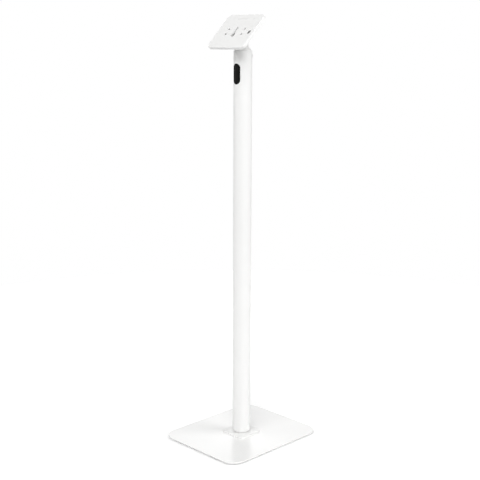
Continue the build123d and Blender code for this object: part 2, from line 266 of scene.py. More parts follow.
# Faces that meet at less than the first are shaded as one, and edges sharper than the second are eased
SMOOTH_ANGLE = math.radians(32)
SHARP_ANGLE = math.radians(50)


def round_pole_axis(heading, radius, height=0):
    """A place round the pole's axis, at a heading that is counted from X towards Y."""
    return Vector((math.cos(heading) * radius, math.sin(heading) * radius, height))


def up_slope(spot):
    """How far up the plate's slope a place is from the middle of its face."""
    return (Vector(spot) - PLATE_MIDDLE).dot(PLATE_UP)


# Places of the base screws, and on the plate's own plane of the fixing holes, the lock slot and the hinge
BASE_SCREW_SPOTS = [round_pole_axis(math.radians(45 + 90 * quarter), SCREW_RING) for quarter in range(4)]
FIXING_SPOTS = [(side * HOLE_PITCH / 2, up_slope(row), 0)
                for row in (HOLES_UPPER, HOLES_LOWER) for side in SIDES]
LOCK_SPOT = (LOCK["pos_m"][0], up_slope(LOCK["pos_m"]), 0)
HINGE_OUT = (HINGE - PLATE_MIDDLE).dot(PLATE_OUT)
HINGE_SPOT = (0, up_slope(HINGE), HINGE_OUT)


# Modelling

def object_mode():
    """Leaves edit mode."""
    if bpy.context.object and bpy.context.object.mode != "OBJECT":
        bpy.ops.object.mode_set(mode="OBJECT")


def deselect():
    """Leaves edit mode with nothing selected."""
    object_mode()
    bpy.ops.object.select_all(action="DESELECT")


def only(piece):
    """Makes a piece the only one selected, and the active one."""
    deselect()
    piece.select_set(True)
    bpy.context.view_layer.objects.active = piece
    return piece


def settle():
    """Puts the place, turn and scale of what is selected in its mesh."""
    bpy.ops.object.transform_apply(location=True, rotation=True, scale=True)


def named(name):
    """Names the primitive or the copy that was just added."""
    piece = bpy.context.object
    piece.name = name
    piece.data.name = name
    return piece


def place(piece, turn=(0, 0, 0), shift=(0, 0, 0)):
    """Turns a piece about the origin, shifts it, and puts that place in its mesh."""
    only(piece)
    piece.rotation_euler = turn
    piece.location = shift
    settle()
    return piece


def block(name, low, high):
    """A block between two corners, to be shaped."""
    deselect()
    low, high = Vector(low), Vector(high)
    bpy.ops.mesh.primitive_cube_add(size=1, location=(low + high) / 2, scale=high - low)
    settle()
    return named(name)


def rod(name, radius, bottom, top, steps=SMALL_STEPS):
    """A round rod along Z, to be shaped or to cut with."""
    deselect()
    middle = (bottom + top) / 2
    bpy.ops.mesh.primitive_cylinder_add(
        vertices=steps, radius=radius, depth=top - bottom, location=(0, 0, middle))
    settle()
    return named(name)


def pick(piece, kind, test):
    """Opens a piece in edit mode with only what passes the test selected.

    The test gets a vertex's place, an edge's two ends, or a face's centre and normal."""
    only(piece)
    mesh = piece.data
    bpy.ops.object.mode_set(mode="EDIT")
    bpy.ops.mesh.select_mode(type=kind)
    bpy.ops.mesh.select_all(action="DESELECT")
    bpy.ops.object.mode_set(mode="OBJECT")
    if kind == "VERT":
        for vertex in mesh.vertices:
            vertex.select = test(vertex.co)
    elif kind == "EDGE":
        for edge in mesh.edges:
            edge.select = test(*(mesh.vertices[i].co for i in edge.vertices))
    else:
        for face in mesh.polygons:
            face.select = test(face.center, face.normal)
    bpy.ops.object.mode_set(mode="EDIT")


def bevel_edges(piece, test, width, segments=EDGE_STEPS, profile=0.5):
    """Bevels the edges of a piece that pass the test."""
    pick(piece, "EDGE", test)
    bpy.ops.mesh.bevel(offset=width, segments=segments, profile=profile, affect="EDGES")
    object_mode()


def delete_faces(piece, test):
    """Deletes the faces of a piece that pass the test."""
    pick(piece, "FACE", test)
    bpy.ops.mesh.delete(type="FACE")


def modify(piece, kind, **settings):
    """Gives a piece one modifier and applies it."""
    only(piece)
    bpy.ops.object.modifier_add(type=kind)
    modifier = piece.modifiers[-1]
    for name, value in settings.items():
        setattr(modifier, name, value)
    bpy.ops.object.modifier_apply(modifier=modifier.name)
    return piece


def combine(piece, tool, operation="DIFFERENCE"):
    """Cuts a piece with a tool, keeps what they share, or joins them, and deletes the tool."""
    modify(piece, "BOOLEAN", object=tool, operation=operation, solver="EXACT")
    bpy.data.objects.remove(tool)
    return piece


def drill(piece, radius, bottom, top, turn=(0, 0, 0), shift=(0, 0, 0), steps=SMALL_STEPS):
    """Cuts a round hole with a rod that is drawn along Z, turned and shifted."""
    combine(piece, place(rod("drill_tool", radius, bottom, top, steps), turn, shift))


def cut_socket(screw, width, bottom, top):
    """Cuts the hexagon socket of a screw, with that width across its flats."""
    combine(screw, rod("socket_tool", width / math.sqrt(3), bottom, top, steps=6))


def ease_edges(piece, width):
    """Rounds every sharp edge of a piece a little, as deburring and coating leave it."""
    modify(piece, "BEVEL", width=width, segments=2, limit_method="ANGLE", angle_limit=SHARP_ANGLE,
           use_clamp_overlap=True)


def copy_of(piece, name):
    """A copy of a piece with its own mesh."""
    only(piece)
    bpy.ops.object.duplicate(linked=False)
    return named(name)


def with_copies(piece, total):
    """A piece whose name ends in 1, and its copies with the next numbers."""
    stem = piece.name.removesuffix("1")
    return [piece] + [copy_of(piece, f"{stem}{number}") for number in range(2, total + 1)]


def turned(name, outline, closed=False, steps=TURNED_STEPS):
    """A piece turned round the Z axis.

    The outline's (radius, height, rounding) points are drawn by extruding one vertex, its corners
    are rounded, and it is spun once round. A closed outline makes a ring."""
    deselect()
    bpy.ops.mesh.primitive_plane_add(size=MM)
    piece = named(name)
    pick(piece, "VERT", lambda co: True)
    bpy.ops.mesh.merge(type="CENTER")
    corners = [Vector((point[0], 0, point[1])) for point in outline]
    bpy.ops.transform.translate(value=corners[0])
    for before, after in zip(corners, corners[1:]):
        bpy.ops.mesh.extrude_region_move(TRANSFORM_OT_translate={"value": after - before})
    if closed:
        pick(piece, "VERT", lambda co: min((co - corners[0]).length, (co - corners[-1]).length) < NEAR)
        bpy.ops.mesh.edge_face_add()
    for corner, point in zip(corners, outline):
        if len(point) > 2:
            pick(piece, "VERT", lambda co: (co - corner).length < NEAR)
            bpy.ops.mesh.bevel(offset=point[2], affect="VERTICES", segments=EDGE_STEPS)
    bpy.ops.mesh.select_all(action="SELECT")
    bpy.ops.mesh.spin(steps=steps, angle=FULL_TURN, center=(0, 0, 0), axis=(0, 0, 1))
    bpy.ops.mesh.select_all(action="SELECT")
    bpy.ops.mesh.remove_doubles(threshold=NEAR / 10)
    bpy.ops.mesh.normals_make_consistent(inside=False)
    object_mode()
    return piece


def draw_apart(piece, travel):
    """Draws the two halves of a round piece apart along Y, so that it has two straight sides."""
    for side in SIDES:
        pick(piece, "VERT", lambda co: co.y * side > 0)
        bpy.ops.transform.translate(value=(0, side * travel / 2, 0))
    object_mode()
    return piece


def slot_rod(name, width, length, bottom, top):
    """A rod with two straight sides along Y, to cut a slot with round ends."""
    return draw_apart(rod(name, width / 2, bottom, top, steps=SLOT_STEPS), length - width)


def rounded_slab(name, low, high, corner, top_edge, bottom_edge=0):
    """A slab between two corners of its box, with rounded corners and eased edges."""
    slab = block(name, low, high)
    bevel_edges(slab, lambda a, b: abs(a.z - b.z) > NEAR, corner, segments=CORNER_STEPS)
    bevel_edges(slab, lambda a, b: min(a.z, b.z) > high[2] - NEAR, top_edge)
    if bottom_edge:
        bevel_edges(slab, lambda a, b: max(a.z, b.z) < low[2] + NEAR, bottom_edge, profile=BEVEL_PROFILE)
    return slab


def finish(piece, body, slot, *nodes):
    """Smooths a piece, gives it the finish of its slot and its body, and hides the nodes it stands for."""
    only(piece)
    bpy.ops.object.shade_smooth_by_angle(angle=SMOOTH_ANGLE)
    modify(piece, "WEIGHTED_NORMAL", keep_sharp=True)
    piece.data.materials.clear()
    piece.data.materials.append(finish_of(slot))
    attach(piece, body)
    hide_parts(*nodes)


# Materials

def linear(hex_colour):
    """The linear colour of an sRGB hex value such as #F2F2F0."""
    channels = [int(hex_colour[i:i + 2], 16) / 255 for i in (1, 3, 5)]
    return tuple(c / 12.92 if c <= 0.04045 else ((c + 0.055) / 1.055) ** 2.4 for c in channels)


def darker(colour, share):
    """A colour with that share of its light."""
    return tuple(c * share for c in colour)


def add_node(tree, kind, inputs=None, **settings):
    """Adds a node with its settings, and with each input set to a value or linked to an output."""
    node = tree.nodes.new(kind)
    for name, value in settings.items():
        setattr(node, name, value)
    for name, value in (inputs or {}).items():
        if isinstance(value, bpy.types.NodeSocket):
            tree.links.new(value, node.inputs[name])
        else:
            node.inputs[name].default_value = value
    return node


def blank_material(name):
    """A new material with an empty node tree."""
    material = bpy.data.materials.new(name)
    material.use_nodes = True
    material.node_tree.nodes.clear()
    return material


def clouds(size, detail=2.0, roughness=0.5):
    """A pattern of noise, with features of that size in metres."""
    return "ShaderNodeTexNoise", {"Scale": 1 / size, "Detail": detail, "Roughness": roughness}, {}


def surface(name, tone, gloss, relief, sockets):
    """The material of that name, built the first time that it is asked for.

    Its patterns lie on the object's own coordinates. The tone goes from one colour to another over
    its pattern, and the gloss from one roughness to another. Both spread over the middle of the
    pattern. The relief is raised by its pattern to a height in metres."""
    if name in bpy.data.materials:
        return bpy.data.materials[name]
    material = blank_material(name)
    tree = material.node_tree
    place_on = add_node(tree, "ShaderNodeTexCoord").outputs["Object"]
    drawn = [add_node(tree, kind, {"Vector": place_on, **inputs}, **settings).outputs["Fac"]
             for kind, inputs, settings in (tone[0], gloss[0], relief[0])]
    least, most = 0.3, 0.7
    ramp = add_node(tree, "ShaderNodeValToRGB", {"Fac": drawn[0]})
    for stop, position, colour in zip(ramp.color_ramp.elements, (least, most), tone[1:]):
        stop.position = position
        stop.color = (*colour, 1)
    rough = add_node(tree, "ShaderNodeMapRange", {
        "Value": drawn[1], "From Min": least, "From Max": most, "To Min": gloss[1], "To Max": gloss[2]})
    bump = add_node(tree, "ShaderNodeBump", {"Height": drawn[2], "Distance": relief[1], "Strength": 1.0})
    shader = add_node(tree, "ShaderNodeBsdfPrincipled", {
        "Base Color": ramp.outputs["Color"], "Roughness": rough.outputs["Result"],
        "Normal": bump.outputs["Normal"], **sockets})
    add_node(tree, "ShaderNodeOutputMaterial", {"Surface": shader.outputs["BSDF"]})
    return material


def powder_coat(name, colour, roughness, peel_size, peel_depth):
    """Polyester powder baked on steel: even and opaque, with a faint orange peel of about 2 mm
    that softens highlights, and a very slight drift in tone from the thickness of the coat."""
    return surface(
        name,
        (clouds(90 * MM, detail=1), darker(colour, 0.985), colour),
        (clouds(25 * MM), roughness - 0.02, roughness + 0.02),
        (clouds(peel_size, detail=1.5), peel_depth),
        {"IOR": 1.5})


def satin_coat(name, colour, look):
    """Powder coat with the satin gloss and finer peel of all coated pieces but the base plate."""
    return powder_coat(name, colour, look.coat_roughness, 1.8 * MM, 0.012 * MM)


def moulded_rubber(colour):
    """Moulded EPDM rubber: nearly black and matt, with a fine bloom that greys it in patches."""
    bloom = clouds(7 * MM, detail=4)
    return surface(
        "rubber_moulded_black",
        (bloom, colour, darker(colour, 1.5)),
        (bloom, 0.62, 0.74),
        (clouds(0.35 * MM), 0.02 * MM),
        {"IOR": 1.5, "Specular IOR Level": 0.08})


def grained_plastic(colour):
    """Injection-moulded ABS from an eroded mould: fine even grain of about 0.3 mm, soft sheen."""
    grain = clouds(0.3 * MM, detail=3, roughness=0.6)
    return surface(
        "abs_grained_black",
        (grain, colour, darker(colour, 1.3)),
        (grain, 0.46, 0.56),
        (grain, 0.015 * MM),
        {"IOR": 1.53, "Specular IOR Level": 0.08})


def zinc_plate(colour):
    """Bright zinc plate on steel: cool grey metal with a faint cloudiness from the bath."""
    cloud = clouds(4 * MM, detail=5, roughness=0.6)
    return surface(
        "zinc_plate_bright",
        (cloud, darker(colour, 0.86), colour),
        (cloud, 0.24, 0.36),
        (clouds(0.5 * MM, detail=3), 0.004 * MM),
        {"Metallic": 1.0})


def turned_aluminium(colour):
    """Bare aluminium from the lathe: rings round Z from the tool's feed, which are too fine to show
    and so are drawn 2.5 mm apart."""
    # The texture draws 20 radians of its wave to the unit
    apart = 0.4 * FULL_TURN * MM
    rings = ("ShaderNodeTexWave", {"Scale": FULL_TURN / (20 * apart), "Distortion": 0.3, "Detail": 1.0},
             {"wave_type": "RINGS", "rings_direction": "Z"})
    return surface(
        "aluminium_turned",
        (clouds(6 * MM), darker(colour, 0.92), colour),
        (rings, 0.24, 0.34),
        (rings, 0.01 * MM),
        {"Metallic": 1.0})


def nylon_sheet(colour):
    """Natural nylon: creamy, waxy and slightly translucent, with a faint burnish from the hinge."""
    cloud = clouds(5 * MM, detail=3)
    return surface(
        "nylon_natural",
        (cloud, darker(colour, 0.93), colour),
        (cloud, 0.36, 0.48),
        (clouds(0.6 * MM), 0.01 * MM),
        {"Subsurface Weight": 0.15, "Subsurface Radius": (1.2 * MM, 1.0 * MM, 0.7 * MM), "IOR": 1.53})


def finish_of(slot):
    """The material that a slot of the frame gets in the scene."""
    look = bpy.context.scene.floor_stand_look
    build, *values = {
        "white_coat": (satin_coat, "powder_coat_satin_white", look.coat, look),
        # The base plate's coat has a higher gloss and a flatter, wider peel
        "white_gloss_coat": (powder_coat, "powder_coat_gloss_white", look.base_coat,
                             look.base_roughness, 2.4 * MM, 0.006 * MM),
        # Lacquer on small screw heads is smoother than the powder coat
        "white_screw": (powder_coat, "lacquer_white", look.coat, 0.28, 1.2 * MM, 0.003 * MM),
        "black_rubber": (moulded_rubber, look.rubber),
        "black_plastic": (grained_plastic, look.plastic),
        "zinc_steel": (zinc_plate, look.zinc),
        "bare_aluminium": (turned_aluminium, linear(ALUMINIUM)),
        "natural_nylon": (nylon_sheet, linear(NYLON)),
    }[slot]
    return build(*values)


# Settings

def length_setting(name, description, default, least, most):
    """A length, with its default and its range in millimetres."""
    return FloatProperty(name=name, description=description, default=default * MM,
                         min=least * MM, max=most * MM, unit="LENGTH")


def angle_setting(name, description, default):
    """An angle, with its default in degrees."""
    return FloatProperty(name=name, description=description, default=math.radians(default),
                         subtype="ANGLE")


def power_setting(name, description, default):
    """The power of a lamp, in watts."""
    return FloatProperty(name=name, description=description, default=default, min=0, max=1000,
                         unit="POWER")


def roughness_setting(name, description, default):
    """A roughness, from nearly mirror-like to matt."""
    return FloatProperty(name=name, description=description, default=default, min=0.05, max=1,
                         subtype="FACTOR")


def colour_setting(name, description, default):
    """A colour, with its default as an sRGB hex value."""
    return FloatVectorProperty(name=name, description=description, default=linear(default),
                               subtype="COLOR", size=3, min=0, max=1)


class FloorStandShape(bpy.types.PropertyGroup):
    """Sizes of the stand that its frame leaves open."""

    base_corner: length_setting("Base Corner", "Radius of the base plate's corners", 40, 5, 140)
    base_edge: length_setting("Base Edge", "Rounding of the base plate's upper edge", 0.8, 0.2, 2)
    flange_corner: length_setting("Flange Corner", "Radius of the flange's corners", 9, 1, 30)
    flange_edge: length_setting("Flange Edge", "Rounding of the flange's upper edge", 0.9, 0.2, 2)
    plate_length: length_setting("Plate Length", "Length of the mount plate up its slope", 122, 80, 200)
    plate_corner: length_setting("Plate Corner", "Radius of the mount plate's corners", 15, 3, 40)
    plate_edge: length_setting(
        "Plate Fold", "Outer radius of the fold between the plate's face and its rim", 2.2, 0.5, 5)
    plate_rim: length_setting(
        "Plate Rim", "Depth of the rim that is turned down round the mount plate", 8, 4, 25)
    bracket_bend: length_setting(
        "Bracket Bend", "Outer radius of the bends of the tilt bracket", 4, 3.2, 8)
    knurls: IntProperty(
        name="Knurls", description="Number of flutes round the head of a pivot screw",
        default=36, min=12, max=60)


class FloorStandLook(bpy.types.PropertyGroup):
    """Colours and finishes of the stand."""

    coat: colour_setting("Coat", "Powder coat of the pole, neck and head", "#F2F2F1")
    base_coat: colour_setting("Base Coat", "Powder coat of the base plate", "#F3F3F2")
    coat_roughness: roughness_setting("Coat Roughness", "Roughness of the satin coat", 0.42)
    base_roughness: roughness_setting("Base Roughness", "Roughness of the base plate's coat", 0.2)
    rubber: colour_setting("Rubber", "Rubber of the grommet and feet", "#080808")
    plastic: colour_setting("Plastic", "Plastic of the port's blank and the bushing", "#080808")
    zinc: colour_setting("Zinc", "Zinc plate of the screws and washers", "#CBCED0")


class FloorStandStudio(bpy.types.PropertyGroup):
    """Camera and light of the studio."""

    camera_distance: length_setting(
        "Camera Distance", "Distance of the camera from the pole, along the floor", 2600, 500, 10000)
    camera_height: length_setting("Camera Height", "Height of the camera above the floor", 1111, 0, 5000)
    camera_angle: angle_setting(
        "Camera Angle", "How far round the camera stands from the front to the right", 45.10)
    camera_pitch: angle_setting("Camera Pitch", "How far the camera looks down", 10.62)
    camera_yaw: angle_setting("Camera Yaw", "How far the camera looks to the left of the pole", 0.137)
    camera_roll: angle_setting("Camera Roll", "How far the camera is turned about its own axis", 0.2177)
    lens: FloatProperty(
        name="Lens", description="Focal length in millimetres, on a 36 mm sensor",
        default=72.19, min=10, max=300, unit="CAMERA")
    shift: FloatProperty(
        name="Shift", description="Vertical shift of the lens, as a share of the frame",
        default=-0.04, min=-0.5, max=0.5)
    ambient: FloatProperty(
        name="Ambient", description="Strength of the even light from all round",
        default=0.15, min=0, max=3)
    front_light: power_setting("Front Light", "Power of the softbox above the camera", 104)
    upper_light: power_setting("Upper Light", "Power of the softbox above and to the left", 96)
    side_light: power_setting("Side Light", "Power of the softbox at the right", 122)
    left_light: power_setting("Left Light", "Power of the softbox at the left", 42)
    back_light: power_setting("Back Light", "Power of the softbox behind the stand", 30)
    floor_tone: colour_setting("Floor", "Colour of the floor", "#F8F8F8")


# Stand

class FLOORSTAND_OT_base_plate(bpy.types.Operator):
    """Flat steel base plate with rounded corners, cable bore, cable groove and countersinks"""

    bl_idname = "floorstand.base_plate"
    bl_label = "Base Plate"

    def execute(self, context):
        shape = context.scene.floor_stand_shape
        plate = rounded_slab("base_plate_coated", BASE_LOW, BASE_HIGH,
                             shape.base_corner, shape.base_edge, BASE_BOTTOM_EDGE)
        below, above = BASE_LOW.z - SPARE, BASE_HIGH.z + SPARE
        drill(plate, CABLE_BORE, below, above)
        combine(plate, block("groove_tool", (-GROOVE_WIDTH / 2, 0, below),
                             (GROOVE_WIDTH / 2, BASE_HIGH.y + SPARE, BASE_LOW.z + GROOVE_DEPTH)))
        cone_top = BASE_LOW.z + COUNTERSINK - SCREW_CLEARANCE
        for spot in BASE_SCREW_SPOTS:
            tool = turned("countersink_tool", [
                (0, below), (COUNTERSINK, below), (COUNTERSINK, BASE_LOW.z),
                (SCREW_CLEARANCE, cone_top), (SCREW_CLEARANCE, above), (0, above)], steps=SMALL_STEPS)
            combine(plate, place(tool, shift=spot))
        finish(plate, "stand", "white_gloss_coat", "base_plate")
        return {"FINISHED"}


class FLOORSTAND_OT_base_feet(bpy.types.Operator):
    """Four moulded rubber feet with a dished tread"""

    bl_idname = "floorstand.base_feet"
    bl_label = "Base Feet"

    def execute(self, context):
        foot = turned("base_foot_1", [
            (0, TREAD_DEPTH), (TREAD_RADIUS - FOOT_TAPER, TREAD_DEPTH, 0.3 * MM),
            (TREAD_RADIUS, 0, 0.2 * MM), (FOOT_RADIUS - FOOT_TAPER, 0, 0.3 * MM),
            (FOOT_RADIUS, 0.8 * MM, 0.3 * MM), (FOOT_RADIUS, FEET_TOP, 0.1 * MM), (0, FEET_TOP)],
            steps=SMALL_STEPS)
        reach_x, reach_y = BASE_HIGH.x - FOOT_INSET, BASE_HIGH.y - FOOT_INSET
        spots = [(x * reach_x, y * reach_y, 0) for x in SIDES for y in SIDES]
        for piece, spot in zip(with_copies(foot, 4), spots):
            finish(place(piece, shift=spot), "stand", "black_rubber", "base_feet")
        return {"FINISHED"}


class FLOORSTAND_OT_base_screws(bpy.types.Operator):
    """Four countersunk socket screws from below, through base plate and flange"""

    bl_idname = "floorstand.base_screws"
    bl_label = "Base Screws"

    def execute(self, context):
        bottom, top = BASE_SCREWS_LOW.z, BASE_SCREWS_HIGH.z
        screw = turned("base_screw_1", [
            (0, bottom), (SCREW_HEAD, bottom, 0.15 * MM),
            (THREAD_RADIUS, bottom + SCREW_HEAD - THREAD_RADIUS),
            (THREAD_RADIUS, top, 0.5 * MM), (0, top)], steps=SMALL_STEPS)
        cut_socket(screw, SCREW_SOCKET, bottom - SPARE, bottom + 2 * MM)
        for piece, spot in zip(with_copies(screw, 4), BASE_SCREW_SPOTS):
            finish(place(piece, shift=spot), "stand", "zinc_steel", "base_screws")
        return {"FINISHED"}


class FLOORSTAND_OT_foot_flange(bpy.types.Operator):
    """Square flange with rounded corners that the pole stands on"""

    bl_idname = "floorstand.foot_flange"
    bl_label = "Foot Flange"

    def execute(self, context):
        shape = context.scene.floor_stand_shape
        flange = rounded_slab("foot_flange_coated", FLANGE_LOW, FLANGE_HIGH,
                              shape.flange_corner, shape.flange_edge)
        below, above = FLANGE_LOW.z - SPARE, FLANGE_HIGH.z + SPARE
        drill(flange, CABLE_BORE, below, above)
        for spot in BASE_SCREW_SPOTS:
            drill(flange, SCREW_CLEARANCE, below, above, shift=spot)
        finish(flange, "stand", "white_coat", "foot_flange")
        return {"FINISHED"}


class FLOORSTAND_OT_foot_plug(bpy.types.Operator):
    """Turned plug with the collar in the shadow gap, the shoulder under the tube and the spigot in it"""

    bl_idname = "floorstand.foot_plug"
    bl_label = "Foot Plug"

    def execute(self, context):
        bottom, top = FOOT_PLUG_LOW.z, FOOT_PLUG_HIGH.z
        shoulder, tube_end = FOOT_PLUG_HIGH.x, TUBE_LOW.z
        plug = turned("foot_plug_coated", [
            (CABLE_BORE, bottom, 0.3 * MM), (COLLAR_RADIUS, bottom),
            (COLLAR_RADIUS, tube_end - SHOULDER_HEIGHT, 0.8 * MM),
            (shoulder, tube_end - SHOULDER_HEIGHT, 0.3 * MM), (shoulder, tube_end, 0.15 * MM),
            (SPIGOT_RADIUS, tube_end), (SPIGOT_RADIUS, top - SPIGOT_LEAD),
            (SPIGOT_RADIUS - SPIGOT_LEAD, top), (CABLE_BORE, top, 0.3 * MM)], closed=True)
        for spot in BASE_SCREW_SPOTS:
            drill(plug, TAPPED_RADIUS, bottom - SPARE, bottom + TAPPED_DEPTH, shift=spot,
                  steps=TAPPED_STEPS)
        finish(plug, "stand", "white_coat", "foot_plug")
        return {"FINISHED"}


class FLOORSTAND_OT_pole_tube(bpy.types.Operator):
    """Round steel tube with the cable port at the front and two screw holes at the back"""

    bl_idname = "floorstand.pole_tube"
    bl_label = "Pole Tube"

    def execute(self, context):
        bottom, top = TUBE_LOW.z, TUBE_HIGH.z
        inside = TUBE_RADIUS - TUBE_WALL
        tube = turned("pole_tube_coated", [
            (inside, bottom, 0.3 * MM), (TUBE_RADIUS, bottom, 0.4 * MM),
            (TUBE_RADIUS, top, 0.3 * MM), (inside, top, 0.3 * MM)], closed=True, steps=FINE_STEPS)
        port = slot_rod("port_tool", PORT_WIDTH - 2 * PORT_LIP, PORT_HEIGHT - 2 * PORT_LIP,
                        0, TUBE_RADIUS + SPARE)
        combine(tube, place(port, turn=TO_FRONT, shift=(0, 0, PORT_MIDDLE)))
        for heading in PLUG_SCREW_ANGLES:
            drill(tube, SCREW_CLEARANCE, 0, TUBE_RADIUS + SPARE,
                  turn=(0, RIGHT_ANGLE, heading), shift=(0, 0, PLUG_SCREW_HEIGHT))
        finish(tube, "stand", "white_coat", "pole_tube")
        return {"FINISHED"}


def round_pole(reach):
    """How far round the pole something goes that reaches that far to the side, seen from the front."""
    return TUBE_RADIUS * math.asin(reach / TUBE_RADIUS)


def draw_to_port(piece):
    """Gives a flat round piece the height of the port, and ends that look round once it is bent."""
    place(piece, turn=(0, 0, FULL_TURN / SLOT_STEPS / 2))
    bpy.ops.transform.resize(value=(1, PORT_WIDTH / 2 / round_pole(PORT_WIDTH / 2), 1))
    settle()
    return draw_apart(piece, PORT_HEIGHT - PORT_WIDTH)


def wrap_round_pole(piece):
    """Turns a flat piece to face the user, bends it round the pole and sets it at the port."""
    place(piece, turn=TO_FRONT)
    across = max(corner[0] for corner in piece.bound_box) - min(corner[0] for corner in piece.bound_box)
    modify(piece, "SIMPLE_DEFORM", deform_method="BEND", deform_axis="Z", angle=across / TUBE_RADIUS)
    return place(piece, shift=(0, -TUBE_RADIUS, PORT_MIDDLE))


class FLOORSTAND_OT_port_grommet(bpy.types.Operator):
    """Soft rubber grommet round the cable port, with a lip on each side of the tube's wall"""

    bl_idname = "floorstand.port_grommet"
    bl_label = "Port Grommet"

    def execute(self, context):
        lip = round_pole(PORT_WIDTH / 2)
        waist = round_pole(PORT_WIDTH / 2 - PORT_LIP - PORT_FIT)
        rim = round_pole(PORT_WIDTH / 2 - PORT_RIM)
        proud = -GROMMET_LOW.y - TUBE_RADIUS
        wall_inside = -TUBE_WALL - PORT_FIT
        grommet = turned("port_grommet_rubber", [
            (waist, -PORT_FIT), (lip, -PORT_FIT, 0.08 * MM), (lip - 0.4 * MM, 0.75 * MM, 0.4 * MM),
            (lip - 1.8 * MM, proud, 0.8 * MM), (rim + 0.5 * MM, proud, 0.35 * MM),
            (rim, proud - 0.6 * MM, 0.2 * MM), (rim, PORT_INNER, 0.2 * MM),
            (lip, PORT_INNER, 0.3 * MM), (lip, wall_inside, 0.2 * MM), (waist, wall_inside)],
            closed=True, steps=SLOT_STEPS)
        draw_to_port(grommet)
        finish(wrap_round_pole(grommet), "stand", "black_rubber", "port_grommet")
        return {"FINISHED"}


class FLOORSTAND_OT_port_cover(bpy.types.Operator):
    """Snap-in blank of the cable port, slightly domed"""

    bl_idname = "floorstand.port_cover"
    bl_label = "Port Cover"

    def execute(self, context):
        edge, face = round_pole(COVER_HIGH.x), -COVER_LOW.y - TUBE_RADIUS
        middle = 0.4 * MM
        cover = turned("port_cover_blank", [
            (middle, PORT_INNER), (edge, PORT_INNER), (edge, face - 0.35 * MM, 0.25 * MM),
            (edge * 0.8, face - 0.1 * MM), (edge * 0.45, face), (middle, face)], steps=SLOT_STEPS)
        for level in (PORT_INNER, face):
            pick(cover, "VERT", lambda co: abs(co.z - level) < NEAR and co.xy.length < middle + NEAR)
            bpy.ops.mesh.edge_face_add()
        draw_to_port(cover)
        pick(cover, "FACE", lambda centre, normal: True)
        bpy.ops.mesh.normals_make_consistent(inside=False)
        finish(wrap_round_pole(cover), "stand", "black_plastic", "port_cover")
        return {"FINISHED"}


class FLOORSTAND_OT_plug_screws(bpy.types.Operator):
    """Two button-head socket screws at the back of the pole"""

    bl_idname = "floorstand.plug_screws"
    bl_label = "Plug Screws"

    def execute(self, context):
        dome = []
        for step in range(10, 61, 10):
            rise = math.radians(step)
            dome.append((BUTTON_RADIUS * math.cos(rise),
                         BUTTON_BRIM + (BUTTON_HEIGHT - BUTTON_BRIM) * math.sin(rise)))
        screw = turned("plug_screw_1", [
            (0, -PLUG_SCREW_LENGTH), (THREAD_RADIUS, -PLUG_SCREW_LENGTH, 0.5 * MM), (THREAD_RADIUS, 0),
            (BUTTON_RADIUS, 0, 0.15 * MM), (BUTTON_RADIUS, BUTTON_BRIM), *dome,
            (BUTTON_FLAT, BUTTON_HEIGHT), (0, BUTTON_HEIGHT)], steps=SMALL_STEPS)
        cut_socket(screw, SCREW_SOCKET, BUTTON_HEIGHT - 1.6 * MM, BUTTON_HEIGHT + SPARE)
        ease_edges(screw, 0.08 * MM)
        for piece, heading in zip(with_copies(screw, 2), PLUG_SCREW_ANGLES):
            seat = round_pole_axis(heading, PLUG_SCREW_SEAT, PLUG_SCREW_HEIGHT)
            place(piece, turn=(0, RIGHT_ANGLE, heading), shift=seat)
            finish(piece, "stand", "white_screw", "plug_screws")
        return {"FINISHED"}


class FLOORSTAND_OT_pole_cap(bpy.types.Operator):
    """Cone that closes the top of the pole round the neck"""

    bl_idname = "floorstand.pole_cap"
    bl_label = "Pole Cap"

    def execute(self, context):
        bottom, top = CAP_LOW.z, CAP_HIGH.z
        bore = NECK_RADIUS + 0.2 * MM
        cap = turned("pole_cap_coated", [
            (bore, bottom), (TUBE_RADIUS, bottom, 0.2 * MM), (TUBE_RADIUS, bottom + CAP_BAND, 0.5 * MM),
            (bore + 0.9 * MM, top, 0.35 * MM), (bore, top, 0.2 * MM)], closed=True)
        finish(cap, "stand", "white_coat", "pole_cap")
        return {"FINISHED"}


class FLOORSTAND_OT_neck_post(bpy.types.Operator):
    """Hollow round neck with a stem below and two flats at the hinge"""

    bl_idname = "floorstand.neck_post"
    bl_label = "Neck Post"

    def execute(self, context):
        bottom, top = NECK_LOW.z, NECK_HIGH.z
        seat = TUBE_HIGH.z
        neck = turned("neck_post_coated", [
            (CABLE_BORE, bottom, 0.4 * MM), (STEM_RADIUS, bottom, 0.6 * MM), (STEM_RADIUS, seat),
            (NECK_RADIUS, seat, 0.3 * MM), (NECK_RADIUS, top), (CABLE_BORE, top, 0.3 * MM)], closed=True)
        past = 2 * NECK_RADIUS
        for side in SIDES:
            low = (min(side * NECK_FLAT, side * past), -past, NECK_FLAT_BOTTOM)
            high = (max(side * NECK_FLAT, side * past), past, top + SPARE)
            combine(neck, block("flat_tool", low, high))
        bevel_edges(neck, lambda a, b: min(a.z, b.z) > top - NEAR
                    and min(a.xy.length, b.xy.length) > NECK_FLAT - NEAR, NECK_BROW)
        drill(neck, PIVOT_BORE, -past, past, ALONG_X, HINGE)
        finish(neck, "stand", "white_coat", "neck_post")
        return {"FINISHED"}


